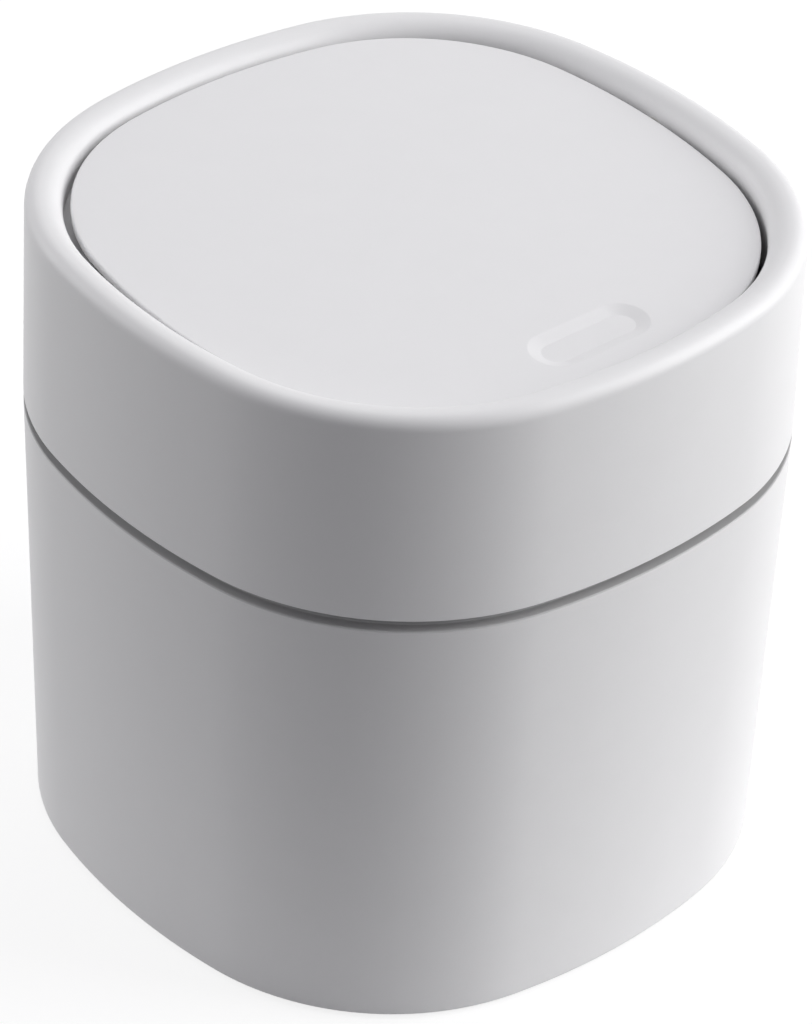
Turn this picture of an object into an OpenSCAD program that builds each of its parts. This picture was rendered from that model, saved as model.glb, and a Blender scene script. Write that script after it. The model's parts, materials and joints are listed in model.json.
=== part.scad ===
// Countertop trash can with a lift-off hood and a swing lid.
// Millimetres, +Z up. The origin is the middle of the base, on the surface it stands on.
// The lid's finger recess is on the -Y side, and the lid swings about an axis along X.

/* [Outline] */
// Width across the middles of two opposite sides, at the seam
seam_w = 151.6; // [136:0.2:190]
// Size of the plan's arcs: larger makes flatter sides and tighter corners
arc_size = 1.5; // [1.2:0.1:1.7]
// How far the base stands in from the seam
foot_inset = 1.7; // [0.5:0.1:3]
// How far the rim stands in from the seam
rim_inset = 0.8; // [0.2:0.1:2]

/* [Heights] */
// Height to the crest of the rim
bin_h = 152.6; // [130:0.5:220]
// Height of the hood, from its lower edge to the crest
hood_h = 47.2; // [40:0.2:70]
// Height of the groove between the body and the hood
band_h = 2.5; // [1.5:0.1:5]
// Height of the neck that the hood slides over
neck_h = 12; // [6:0.5:14]
// Clear height under the rim of the body, which the feet give
foot_lift = 0.6; // [0.3:0.1:1.5]

/* [Body] */
// Thickness of the body's side wall
body_wall = 2.2; // [1.6:0.1:3.5]
// Thickness of the floor
floor_t = 2.4; // [2:0.1:4]
// Height of the hollow under the floor
base_hollow = 1.2; // [0.8:0.1:3]
// Width of the ring that the hollow leaves round the base
foot_ring_w = 6; // [4:0.5:10]
// Rounding of the bottom edge
base_round = 1; // [0.4:0.1:1.5]
// Bevel of the body's upper edge, at the groove
shoulder_bevel = 0.5; // [0.2:0.1:1]
// Thickness of the neck
neck_wall = 1.8; // [1.4:0.1:2.6]
// Lead-in bevel round the top of the neck
neck_bevel = 0.8; // [0.3:0.1:1.2]
// Gap between the neck and the hood
neck_gap = 0.4; // [0.3:0.05:0.8]

/* [Feet] */
// Diameter of a non-slip foot
foot_d = 14; // [8:0.5:18]
// How deep a foot is set into the floor
foot_seat = 0.6; // [0.3:0.1:1]
// Gap round a foot in its seat, on the radius
foot_gap = 0.05; // [0.03:0.01:0.2]
// Distance of each foot from the middle, along X and along Y
foot_pitch = 42; // [30:1:46]

/* [Hood] */
// Thickness of the hood's outer wall
hood_wall = 2.2; // [2:0.1:3]
// Thickness of the ring inside the hood that rests on the neck
rest_t = 2; // [1.4:0.1:3]
// Thickness of the rim at its crest
crest_t = 2.4; // [2:0.1:2.4]
// Width of the rim, from the outside to the opening
rim_w = 8; // [8:0.1:9.5]
// Rounding of the rim's outer edge
rim_round_out = 2.9; // [2.5:0.1:3.1]
// Rounding of the rim's inner edge
rim_round_in = 4.8; // [3:0.1:4.8]
// Thickness of the collar that hangs from the rim
collar_wall = 1.8; // [1.4:0.1:2.2]
// Depth of the collar below the crest
collar_h = 16; // [15:0.5:20]
// How far the ledge that stops the lid stands out from the collar
ledge_w = 5.4; // [4.6:0.1:6]
// Thickness of the ledge
ledge_t = 1.8; // [1.2:0.1:2.4]
// Where the ledge ends, behind the lid's axis
ledge_from = 28; // [16:1:40]

/* [Lid] */
// Gap between the lid's edge and the collar
lid_gap = 1.4; // [1:0.1:2]
// Depth of the closed lid's top below the crest
lid_drop = 3.7; // [2.5:0.1:5]
// Angle that the lid hangs open at, as photographed
lid_hang = 1.6; // [0.4:0.2:4]
// Thickness of the lid's top
lid_t = 2; // [1.8:0.1:2.6]
// Chamfer round the lid's upper edge
lid_chamfer = 0.3; // [0.1:0.1:0.6]
// How far the lid's edge stands out from its skirt
lid_overhang = 5.8; // [5.4:0.1:7]
// Depth of the lid's skirt
skirt_h = 10; // [8:0.5:14]
// Thickness of the skirt
skirt_wall = 1.6; // [1.2:0.1:2.4]
// Thickness of the plate that closes the lid from below
backing_t = 1.6; // [1.6:0.1:2.4]
// Height of the rib that locates the closing plate
locating_h = 1.8; // [1:0.1:3]
// Gap between the locating rib and the skirt
locating_gap = 0.2; // [0.1:0.05:0.4]

/* [Finger recess] */
// Length of the recess
recess_l = 29; // [20:1:40]
// Width of the recess
recess_w = 12; // [11:0.5:17]
// Depth of the recess
recess_depth = 1.2; // [0.8:0.1:2]
// Width of its sloping side
recess_slope = 3.4; // [1.5:0.1:4]
// Distance of its middle from the lid's axis
recess_y = 53; // [48:0.5:54]
// Thickness of the lid below it
recess_floor = 1.6; // [1.2:0.1:2.2]

/* [Pivot] */
// Diameter of a pivot pin
pin_d = 3; // [2:0.1:3.4]
// Clearance of a pin in its bush, on the radius
pin_run = 0.06; // [0.02:0.01:0.1]
// Clearance of a pin in the lid, on the radius
pin_seat_gap = 0.02; // [0.01:0.01:0.05]
// Gap between a pin and the underside of the lid's top
pin_roof_gap = 0.3; // [0.2:0.1:1]
// Length of a pin inside the lid's skirt
pin_grip = 10.2; // [6:0.2:12]
// Wall of the boss that holds each pin in the lid
boss_wall = 3.2; // [2:0.1:4]
// Gap between a pin's inner end and the keeper that stops it
keeper_gap = 0.3; // [0.2:0.1:0.8]
// Thickness of a bush's wall
bush_wall = 1.44; // [1:0.02:2]
// Length of a bush
bush_l = 5; // [3.5:0.1:5.4]
// Gap between a bush and its seat, on the radius
bush_seat_gap = 0.02; // [0.01:0.01:0.05]
// Thickness of the hub round each pin outside the skirt
hub_wall = 1.3; // [1:0.1:1.6]
// Side play between a hub and its bush
side_play = 0.4; // [0.3:0.1:0.8]
// Thickness of the socket round a bush
socket_wall = 2; // [1.5:0.1:3]

/* [Ballast] */
// Length of the ballast bar
bar_l = 90; // [60:1:92]
// Width of the bar
bar_w = 14; // [8:0.5:20]
// Thickness of the bar
bar_t = 5; // [3:0.2:6]
// Distance of the bar behind the lid's axis, which sets the angle that the lid hangs at
bar_y = -0.18; // [-4:0.02:4]
// Gap between the bar and its cradle
cradle_gap = 0.2; // [0.1:0.05:0.4]
// Thickness of the cradle's walls
cradle_wall = 1.4; // [1:0.1:2]
// Height of the cradle's walls
cradle_h = 3; // [2:0.2:5]
// Distance of each ballast screw from the middle
ballast_screw_x = 30; // [15:1:40]

/* [Screws and stops] */
// Diameter of a screw's shank
screw_d = 2.5; // [2:0.1:3]
// Diameter of a screw's head
screw_head_d = 5.6; // [4.6:0.1:6]
// Height of a screw's head
screw_head_h = 1.3; // [1:0.1:1.5]
// Length of a lid screw below its head
lid_screw_l = 7; // [5:0.5:8]
// Gap round a screw, on the radius
screw_gap = 0.05; // [0.03:0.01:0.1]
// Wall of a screw post
post_wall = 2.2; // [1.6:0.1:3]
// Distance of each lid screw from the middle, along X and along Y
screw_pitch = 34; // [26:1:36]
// Diameter of a stop pad
stop_d = 3.6; // [2.6:0.1:3.8]
// Thickness of a stop pad
stop_t = 1; // [0.6:0.1:1.6]
// Gap between the closed lid and its stop pads
stop_gap = 0.3; // [0.2:0.05:0.5]
// Angle of each stop pad round the rear side's arc, either side of the middle
stop_turn = 8; // [3:0.5:9]

/* [Hidden] */
$fn = 96;

// The plan is a rounded square with bulged sides: four side arcs run into four corner arcs. The centre
// of each side arc lies beyond the middle, and a line from it through the centre of a corner arc meets
// both arcs where they join. A triangle of these sides, in arc units, keeps the centres on that line.
run_u = 60;
rise_u = 11;
slant_u = 61;
half_w = seam_w / 2;
side_c = (run_u - rise_u) * arc_size;
corner_c = rise_u * arc_size;
side_r = half_w + side_c;
corner_r = side_r - slant_u * arc_size;
arc_turn = atan(rise_u / run_u);
// Each arc is cut out along those lines, which run this far past the outline
far_x = 3 * run_u * arc_size - side_c;
far_y = 3 * corner_c;
// A plate has a curved edge, which goes in this far, and a middle with straight sides, which laps it
edge_w = 4;
straights = 8;
tall = 2 * bin_h;
nudge = 0.5;
// Where the middle of a quarter arc lies, as a share of its radius in from the corner
bevel_share = 0.3;
// How much of the rim's thickness lies above the sockets, and how far they run into the collar, as a share
// of its wall. Both keep them inside the rim's roundings
socket_share = 0.85;
collar_lap = 0.3;

seam_z = bin_h - hood_h;
shoulder_z = seam_z - band_h;
neck_top = seam_z + neck_h;
neck_in = hood_wall + neck_gap;
floor_low = foot_lift + base_hollow;
floor_top = floor_low + floor_t;
floor_mid = floor_low + floor_t / 2;
neck_root = shoulder_z - neck_in - neck_wall;

collar_in = rim_inset + rim_w;
collar_z = bin_h - collar_h;
lid_inset = collar_in + lid_gap;
skirt_inset = lid_inset + lid_overhang;
skirt_in = skirt_inset + skirt_wall;

// The lid's own frame has its origin on its axis, at the middle
pin_r = pin_d / 2;
lid_top = lid_t + pin_roof_gap + pin_r;
lid_under = lid_top - lid_t;
skirt_low = lid_under - skirt_h;
backing_low = skirt_low - backing_t;
pivot_z = bin_h - lid_drop - lid_top;
lid_under_closed = pivot_z + lid_under;
ledge_top = lid_under_closed - stop_gap - stop_t;

bush_bore_r = pin_r + pin_run;
bush_r = bush_bore_r + bush_wall;
bush_x = half_w - collar_in;
socket_r = bush_r + bush_seat_gap;
socket_top = bin_h - socket_share * crest_t;
socket_start = (1 - collar_lap) * collar_wall;
hub_r = pin_r + hub_wall;
hub_x = bush_x - side_play;
skirt_x = half_w - skirt_inset;
pin_x0 = skirt_x - pin_grip;
pin_x1 = bush_x + bush_l - side_play;
boss_half = pin_r + boss_wall;
cradle_half_l = bar_l / 2 + cradle_gap;
cradle_half_w = bar_w / 2 + cradle_gap;
stop_inset = (lid_inset + collar_in + ledge_w) / 2;

// Points on the plan's outline, this far in from the seam
function plan_points(inset) = [
    for (turn = [0 : 90 : 270]) each concat(
        arc_points(turn, [-side_c, 0], side_r - inset, -arc_turn, arc_turn),
        arc_points(turn, [corner_c, corner_c], corner_r - inset, arc_turn, 90 - arc_turn)
    )
];

function arc_points(turn, centre, r, from, to) = [
    for (i = [1 : straights])
        let (a = from + (to - from) * i / straights, p = centre + r * [cos(a), sin(a)])
        [p.x * cos(turn) - p.y * sin(turn), p.x * sin(turn) + p.y * cos(turn)]
];

// Draws a section right round the plan. In it, X is the distance in from the seam's outline, Y is height
module swept() {
    for (turn = [0 : 90 : 270]) rotate([0, 0, turn]) {
        intersection() {
            translate([-side_c, 0, 0]) revolved(side_r) children();
            wedge([[-side_c, 0], [far_x, -far_y], [far_x, far_y]]);
        }
        intersection() {
            translate([corner_c, corner_c, 0]) revolved(corner_r) children();
            wedge([[corner_c, corner_c], [far_x, far_y], [far_x, far_x], [far_y, far_x]]);
        }
    }
}

module revolved(r) {
    rotate_extrude() translate([r, 0]) mirror([1, 0]) children();
}

// A part of the plan, from far below the object to far above it
module wedge(corners) {
    translate([0, 0, -bin_h]) linear_extrude(tall + bin_h) polygon(corners);
}

module ring(inset, width, z, t) {
    swept() translate([inset, z]) square([width, t]);
}

module plate(inset, z, t) {
    ring(inset, edge_w, z, t);
    plate_middle(inset + edge_w / 2, z, t);
}

module plate_middle(inset, z, t) {
    translate([0, 0, z]) linear_extrude(t) polygon(plan_points(inset));
}

module at_four(x, y) {
    for (i = [-1, 1], j = [-1, 1]) translate([i * x, j * y, 0]) children();
}

module both_sides() {
    children();
    mirror([1, 0, 0]) children();
}

module on_side(side) {
    if (side < 0) mirror([1, 0, 0]) children();
    else children();
}

// A cylinder along +X from x0 to x1
module rod_x(r, x0, x1) {
    translate([x0, 0, 0]) rotate([0, 90, 0]) cylinder(r = r, h = x1 - x0);
}

module in_lid_frame() {
    translate([0, 0, pivot_z]) rotate([lid_hang, 0, 0]) children();
}

module body_section() {
    polygon([
        [foot_inset + base_round, foot_lift],
        [foot_inset + base_round * bevel_share, foot_lift + base_round * bevel_share],
        [foot_inset, foot_lift + base_round], [0, shoulder_z - shoulder_bevel], [shoulder_bevel, shoulder_z],
        [neck_in, shoulder_z], [neck_in, neck_top - neck_bevel],
        [neck_in + neck_bevel, neck_top], [neck_in + neck_wall, neck_top], [neck_in + neck_wall, shoulder_z],
        [body_wall, neck_root], [foot_inset + body_wall, floor_top], [foot_inset + body_wall, floor_mid],
        [foot_inset + foot_ring_w, floor_mid], [foot_inset + foot_ring_w, foot_lift]
    ]);
}

module bin_body() {
    color("white") difference() {
        union() {
            swept() body_section();
            plate_middle(foot_inset + body_wall / 4, floor_low, floor_t);
        }
        at_four(foot_pitch, foot_pitch) translate([0, 0, floor_low - nudge])
            cylinder(d = foot_d + 2 * foot_gap, h = foot_seat + nudge);
    }
}

module foot_pad(i, j) {
    color("lightgray") translate([i * foot_pitch, j * foot_pitch, 0])
        cylinder(d = foot_d, h = floor_low + foot_seat);
}

module hood_section() {
    difference() {
        union() {
            polygon([
                [0, seam_z], [rim_inset, bin_h - rim_round_out],
                [rim_inset + rim_round_out, bin_h - rim_round_out], [rim_inset + rim_round_out, bin_h],
                [collar_in - rim_round_in, bin_h], [collar_in - rim_round_in, bin_h - rim_round_in],
                [collar_in, bin_h - rim_round_in], [collar_in, seam_z]
            ]);
            rim_quarter(rim_inset, rim_round_out, 0);
            rim_quarter(collar_in - rim_round_in, rim_round_in, rim_round_in);
        }
        polygon([
            [hood_wall, seam_z - nudge], [hood_wall, seam_z], [rim_inset + hood_wall, bin_h - rim_round_out],
            [rim_inset + hood_wall + rim_round_out - crest_t, bin_h - crest_t],
            [collar_in - rim_round_in, bin_h - crest_t],
            [collar_in - collar_wall - bevel_share * (rim_round_in - collar_wall),
             bin_h - crest_t - bevel_share * (rim_round_in - crest_t)],
            [collar_in - collar_wall, bin_h - rim_round_in], [collar_in - collar_wall, collar_z],
            [collar_in + nudge, collar_z], [collar_in + nudge, seam_z - nudge]
        ]);
    }
}

// A quarter of a disc in the rim's section: its square starts at x, its centre is in it or at its far side
module rim_quarter(x, r, back) {
    intersection() {
        translate([x + r - back, bin_h - r]) circle(r = r);
        translate([x, bin_h - r]) square([r, r]);
    }
}

module hood() {
    color("white") difference() {
        union() {
            swept() hood_section();
            ring(hood_wall / 2, neck_in + neck_wall - hood_wall / 2, neck_top, rest_t);
            intersection() {
                ring(collar_in - collar_wall / 2, ledge_w + collar_wall / 2, ledge_top - ledge_t, ledge_t);
                translate([-seam_w, ledge_from, 0]) cube([2 * seam_w, seam_w, tall]);
            }
            both_sides() translate([half_w - collar_in + socket_start, -socket_r - socket_wall, 0])
                translate([0, 0, pivot_z - socket_r - socket_wall])
                cube([collar_in - socket_start - hood_wall,
                      2 * (socket_r + socket_wall), socket_r + socket_wall + socket_top - pivot_z]);
        }
        both_sides() translate([0, 0, pivot_z]) rod_x(socket_r, bush_x - nudge, bush_x + bush_l);
    }
}

module pivot_bush(side) {
    color("gainsboro") on_side(side) translate([0, 0, pivot_z]) difference() {
        rod_x(bush_r, bush_x, bush_x + bush_l);
        rod_x(bush_bore_r, bush_x - nudge, bush_x + bush_l + nudge);
    }
}

module stop_pad(side) {
    color("lightgray") translate([0, -side_c, ledge_top]) rotate([0, 0, -side * stop_turn])
        translate([0, side_r - stop_inset, 0]) cylinder(d = stop_d, h = stop_t);
}

// A stadium-shaped block or pocket with sloping sides, l by w at z0 and shrunk by slope at z1
module stadium(l, w, slope, z0, z1) {
    run = (l - w) / 2;
    for (i = [-1, 1]) translate([i * run, 0, z1]) cylinder(r1 = w / 2 - slope, r2 = w / 2, h = z0 - z1);
    translate([run, 0, 0]) rotate([0, -90, 0]) linear_extrude(2 * run)
        polygon([[z1, -w / 2 + slope], [z0, -w / 2], [z0, w / 2], [z1, w / 2 - slope]]);
}

module swing_lid() {
    color("white") in_lid_frame() difference() {
        union() {
            swept() polygon([
                [lid_inset, lid_under], [lid_inset, lid_top - lid_chamfer],
                [lid_inset + lid_chamfer, lid_top], [lid_inset + edge_w, lid_top],
                [lid_inset + edge_w, lid_under]
            ]);
            plate_middle(lid_inset + edge_w / 2, lid_under, lid_t);
            ring(skirt_inset, skirt_wall, skirt_low, skirt_h + lid_t / 2);
            at_four(screw_pitch, screw_pitch) translate([0, 0, skirt_low])
                cylinder(d = screw_d + 2 * post_wall, h = skirt_h + lid_t / 2);
            both_sides() {
                translate([pin_x0, -boss_half, -boss_half])
                    cube([skirt_x - pin_x0 - skirt_wall / 2, 2 * boss_half,
                          boss_half + lid_under + lid_t / 2]);
                rod_x(hub_r, skirt_x - skirt_wall / 2, hub_x);
            }
            translate([0, -recess_y, 0]) stadium(recess_l + 2 * recess_floor, recess_w + 2 * recess_floor,
                0, lid_under + lid_t / 2, lid_top - recess_depth - recess_floor);
        }
        translate([0, -recess_y, 0]) recess_tool();
        both_sides() rod_x(pin_r + pin_seat_gap, pin_x0 - nudge, hub_x + nudge);
        at_four(screw_pitch, screw_pitch) translate([0, 0, skirt_low - nudge])
            cylinder(d = screw_d + 2 * screw_gap, h = lid_screw_l + 2 * nudge);
    }
}

// The recess, carried on upwards past the lid's top at the same slope
module recess_tool() {
    rise = nudge * recess_slope / recess_depth;
    stadium(recess_l + 2 * rise, recess_w + 2 * rise, recess_slope + rise,
        lid_top + nudge, lid_top - recess_depth);
}

module flat_screw(length, gap) {
    cylinder(r1 = screw_head_d / 2 + gap, r2 = screw_d / 2 + gap, h = screw_head_h);
    cylinder(d = screw_d + 2 * gap, h = screw_head_h + length);
}

module lid_backing() {
    color("white") in_lid_frame() difference() {
        union() {
            plate(skirt_inset, backing_low, backing_t);
            ring(skirt_in + locating_gap, skirt_wall, skirt_low - backing_t / 2, locating_h + backing_t / 2);
            translate([0, bar_y, skirt_low - backing_t / 2]) difference() {
                translate([-cradle_half_l - cradle_wall, -cradle_half_w - cradle_wall, 0])
                    cube([2 * (cradle_half_l + cradle_wall), 2 * (cradle_half_w + cradle_wall),
                          cradle_h + backing_t / 2]);
                translate([-cradle_half_l, -cradle_half_w, backing_t / 2])
                    cube([2 * cradle_half_l, 2 * cradle_half_w, cradle_h + nudge]);
            }
            both_sides() translate([cradle_half_l + cradle_wall / 2, 0, skirt_low - backing_t / 2])
                translate([0, -boss_half / 2, 0])
                cube([pin_x0 - cradle_half_l - cradle_wall / 2 - keeper_gap, boss_half,
                      backing_t / 2 + pin_r - skirt_low]);
        }
        translate([0, 0, backing_low]) {
            at_four(screw_pitch, screw_pitch) screw_hole();
            for (i = [-1, 1]) translate([i * ballast_screw_x, bar_y, 0]) screw_hole();
        }
    }
}

// Countersunk hole through the closing plate, open at both faces
module screw_hole() {
    translate([0, 0, -nudge]) cylinder(r = screw_head_d / 2 + screw_gap, h = nudge);
    flat_screw(backing_t + nudge, screw_gap);
}

module ballast_bar() {
    color("dimgray") in_lid_frame() translate([0, bar_y, skirt_low]) difference() {
        translate([-bar_l / 2, -bar_w / 2, 0]) cube([bar_l, bar_w, bar_t]);
        for (i = [-1, 1]) translate([i * ballast_screw_x, 0, -nudge])
            cylinder(d = screw_d + 2 * screw_gap, h = bar_t + 2 * nudge);
    }
}

module ballast_screws() {
    color("silver") in_lid_frame() for (i = [-1, 1]) translate([i * ballast_screw_x, bar_y, backing_low])
        flat_screw(backing_t - screw_head_h + bar_t, 0);
}

module lid_screws() {
    color("silver") in_lid_frame() translate([0, 0, backing_low])
        at_four(screw_pitch, screw_pitch) flat_screw(lid_screw_l, 0);
}

module pivot_pin(side) {
    color("silver") on_side(side) translate([0, 0, pivot_z]) rod_x(pin_r, pin_x0, pin_x1);
}

bin_body();
foot_pad(-1, -1);  // foot_pad_front_left
foot_pad(1, -1);  // foot_pad_front_right
foot_pad(-1, 1);  // foot_pad_rear_left
foot_pad(1, 1);  // foot_pad_rear_right
hood();
pivot_bush(-1);  // pivot_bush_left
pivot_bush(1);  // pivot_bush_right
stop_pad(-1);  // stop_pad_left
stop_pad(1);  // stop_pad_right
swing_lid();
lid_backing();
ballast_bar();
ballast_screws();
lid_screws();
pivot_pin(-1);  // pivot_pin_left
pivot_pin(1);  // pivot_pin_right
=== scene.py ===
# %% [markdown]
# # A countertop bin with a swing lid
#
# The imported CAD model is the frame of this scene: it says where every piece is and how it moves. Blender's
# part is the look. Each solid gets a finer skin in the same place, with the small roundings that make light
# run along an edge, and a finish that has some grain.

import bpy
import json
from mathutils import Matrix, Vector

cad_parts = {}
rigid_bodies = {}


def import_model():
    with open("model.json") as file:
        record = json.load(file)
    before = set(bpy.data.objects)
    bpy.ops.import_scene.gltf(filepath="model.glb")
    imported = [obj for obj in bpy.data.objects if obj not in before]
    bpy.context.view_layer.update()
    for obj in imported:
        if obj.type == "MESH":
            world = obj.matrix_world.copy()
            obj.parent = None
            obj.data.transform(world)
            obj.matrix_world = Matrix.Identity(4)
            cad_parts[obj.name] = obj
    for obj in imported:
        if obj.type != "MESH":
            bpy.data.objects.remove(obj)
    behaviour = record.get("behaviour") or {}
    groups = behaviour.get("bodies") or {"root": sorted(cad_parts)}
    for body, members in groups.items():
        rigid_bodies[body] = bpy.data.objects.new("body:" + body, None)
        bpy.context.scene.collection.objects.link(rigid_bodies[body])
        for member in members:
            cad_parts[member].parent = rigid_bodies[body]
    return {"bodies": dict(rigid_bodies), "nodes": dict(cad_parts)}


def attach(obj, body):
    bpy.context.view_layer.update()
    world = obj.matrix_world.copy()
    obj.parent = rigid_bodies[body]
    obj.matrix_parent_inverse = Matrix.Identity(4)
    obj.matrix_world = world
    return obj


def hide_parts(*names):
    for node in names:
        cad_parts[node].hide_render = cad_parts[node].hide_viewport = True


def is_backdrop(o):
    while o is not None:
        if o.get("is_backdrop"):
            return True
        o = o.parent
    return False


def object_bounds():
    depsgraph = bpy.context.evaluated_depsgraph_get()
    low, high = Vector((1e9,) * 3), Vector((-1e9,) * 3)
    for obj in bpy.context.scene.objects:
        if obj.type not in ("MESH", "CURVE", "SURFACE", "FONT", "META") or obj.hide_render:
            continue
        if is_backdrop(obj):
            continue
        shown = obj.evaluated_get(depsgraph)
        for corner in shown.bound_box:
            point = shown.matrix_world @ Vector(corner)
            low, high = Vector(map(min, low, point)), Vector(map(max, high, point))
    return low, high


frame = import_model()
cad_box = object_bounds()
print("bodies:", ", ".join(frame["bodies"]))
print("nodes:", len(frame["nodes"]))

# %% Other modules
import json
import math

import bmesh
import bpy
from mathutils import Matrix, Vector

# %% [markdown]
# ## The plan
#
# Seen from above, the bin is a square with bulged sides and wide corners. It could be a superellipse or a
# subdivided cube, but the solids are made of circle arcs, and the skin has to lie exactly on them. So the
# outline is described by the direction that its surface faces, from 0 to 360 degrees: within 10.4 degrees of
# a side's own direction the point is on that side's wide arc, and otherwise on a corner's arc. One function
# gives the point, and an inset moves it inwards along that same direction, so rings of different insets line
# up and make clean quads.

# %% A point on the outline
MM = 0.001
HALF_W = 75.8
SIDE_CENTRE = 73.5
SIDE_R = HALF_W + SIDE_CENTRE
CORNER_CENTRE = 16.5
CORNER_R = 57.8
SIDE_TURN = math.degrees(math.atan2(11, 60))


def outline_point(turn, inset):
    """The point (x, y) in mm whose surface faces that way, this far in from the seam's outline."""
    side = round(turn / 90) * 90
    if abs(turn - side) <= SIDE_TURN:
        centre = Matrix.Rotation(math.radians(side), 2) @ Vector((-SIDE_CENTRE, 0))
        radius = SIDE_R
    else:
        corner = math.floor(turn / 90) * 90
        centre = Matrix.Rotation(math.radians(corner), 2) @ Vector((CORNER_CENTRE, CORNER_CENTRE))
        radius = CORNER_R
    angle = math.radians(turn)
    return centre + (radius - inset) * Vector((math.cos(angle), math.sin(angle)))


print("half width:", round(outline_point(0, 0).x, 2), "mm")
print("corner reach:", round(outline_point(45, 0).length, 2), "mm")

# %% The directions that a ring has points at
SIDE_STEPS = 16
CORNER_STEPS = 32


def ring_turns():
    """Directions right round the plan, closer together on the corners."""
    turns = []
    for side in range(0, 360, 90):
        turns += [side - SIDE_TURN + 2 * SIDE_TURN * i / SIDE_STEPS for i in range(SIDE_STEPS)]
        sweep = 90 - 2 * SIDE_TURN
        turns += [side + SIDE_TURN + sweep * i / CORNER_STEPS for i in range(CORNER_STEPS)]
    return turns


def plan_ring(inset, z):
    return [(*outline_point(turn, inset), z) for turn in ring_turns()]


print("points in a ring:", len(ring_turns()))

# %% [markdown]
# ## Sections with rounded corners
#
# A moulded edge is never quite sharp, and the thin bright line along it is what makes a plastic part look
# real. A Bevel modifier could round the edges, but then every edge gets the same treatment. Here each corner
# of a section carries its own radius. Just beside each rounding lies one more point: it keeps the smooth
# shading of the rounding from spreading over the flat face next to it.

# %% Round the corners of a section
def rounded(corners, closed=True, steps=5, hold=0.3):
    """The section's points. Each corner is (across, up) or (across, up, radius)."""
    points = [Vector(c[:2]) for c in corners]
    radii = [c[2] if len(c) > 2 else 0 for c in corners]
    count = len(points)
    ends = () if closed else (0, count - 1)
    cuts = []
    for i, (p, r) in enumerate(zip(points, radii)):
        if r == 0 or i in ends:
            cuts.append(0)
            continue
        before = (p - points[i - 1]).normalized()
        after = (points[(i + 1) % count] - p).normalized()
        cuts.append(r * math.tan(before.angle(after) / 2))
    made = []
    for i, p in enumerate(points):
        if cuts[i] == 0:
            made.append(p)
            continue
        before, after = p - points[i - 1], points[(i + 1) % count] - p
        room_before = before.length - cuts[i] - cuts[i - 1]
        room_after = after.length - cuts[i] - cuts[(i + 1) % count]
        before.normalize()
        after.normalize()
        start, end = p - before * cuts[i], p + after * cuts[i]
        side = 1 if before.x * after.y - before.y * after.x > 0 else -1
        centre = start + side * radii[i] * Vector((-before.y, before.x))
        sweep = side * before.angle(after)
        made.append(start - before * min(hold, room_before * 0.4))
        for k in range(steps + 1):
            made.append(centre + Matrix.Rotation(sweep * k / steps, 2) @ (start - centre))
        made.append(end + after * min(hold, room_after * 0.4))
    return made


print("a square with 1 mm corners:", len(rounded([(0, 0, 1), (9, 0, 1), (9, 9, 1), (0, 9, 1)])), "points")

# %% [markdown]
# ## Skins
#
# Every piece is a stack of rings with quads between them, closed by flat faces that may have holes. A small
# class keeps the mesh while it grows. It takes millimetres, as the drawing does, and hands over metres.

# %% The skin of a piece
SHARP = math.radians(40)


class Skin:
    def __init__(self):
        self.mesh = bmesh.new()

    def ring(self, points):
        return [self.mesh.verts.new(Vector(p) * MM) for p in points]

    def sleeve(self, rings, closed=False):
        """Quads between neighbouring rings. Returns the rings' vertices."""
        made = [self.ring(points) for points in rings]
        pairs = list(zip(made, made[1:])) + ([(made[-1], made[0])] if closed else [])
        for a, b in pairs:
            self.join(a, b)
        return made

    def join(self, a, b):
        for i in range(len(a)):
            self.mesh.faces.new((a[i - 1], a[i], b[i], b[i - 1]))

    def flat(self, *rings):
        """A flat face inside the first ring. The other rings are holes in it."""
        edges = []
        for ring in rings:
            for i in range(len(ring)):
                pair = (ring[i - 1], ring[i])
                edges.append(self.mesh.edges.get(pair) or self.mesh.edges.new(pair))
        bmesh.ops.triangle_fill(self.mesh, use_beauty=True, use_dissolve=False, edges=edges)

    def ends(self, rings):
        """Closes the first and the last ring."""
        self.flat(rings[0])
        self.flat(rings[-1])

    def swept(self, section, closed=True):
        """The section carried right round the plan."""
        return self.sleeve([plan_ring(p.x, p.y) for p in section], closed)

    def turned(self, section, place=Matrix(), steps=48, closed=False):
        """The section (radius, height) turned about an axis, then put in place."""
        rings = []
        for p in section:
            angles = [2 * math.pi * i / steps for i in range(steps)]
            rings.append([place @ Vector((p.x * math.cos(a), p.x * math.sin(a), p.y)) for a in angles])
        return self.sleeve(rings, closed)

    def object(self, name, place=Matrix()):
        """A shaded object, moved to its place, in metres."""
        bmesh.ops.recalc_face_normals(self.mesh, faces=self.mesh.faces)
        data = bpy.data.meshes.new(name)
        self.mesh.to_mesh(data)
        self.mesh.free()
        data.transform(Matrix.Scale(MM, 4) @ place @ Matrix.Scale(1 / MM, 4))
        data.shade_smooth()
        data.set_sharp_from_angle(angle=SHARP)
        made = bpy.data.objects.new(name, data)
        bpy.context.scene.collection.objects.link(made)
        return made


def at(x, y, z=0):
    return Matrix.Translation((x, y, z))


def fit_out(piece, body, nodes, material):
    """A finished piece moves with its body, stands for its CAD nodes and has its material."""
    piece.data.materials.append(material)
    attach(piece, body)
    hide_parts(*nodes)
    print(piece.name, "-", len(piece.data.polygons), "faces, rides on", body)
    return piece


# %% [markdown]
# ## Writing shaders as sums
#
# A node tree is easier to read as arithmetic. A Wire holds one socket, and adding or multiplying wires adds
# the Math nodes. Vectors go through Vector Math and colours through Mix, because a Math node turns a colour
# grey. Numbers that are known beforehand are worked out in Python and never become nodes.

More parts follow.
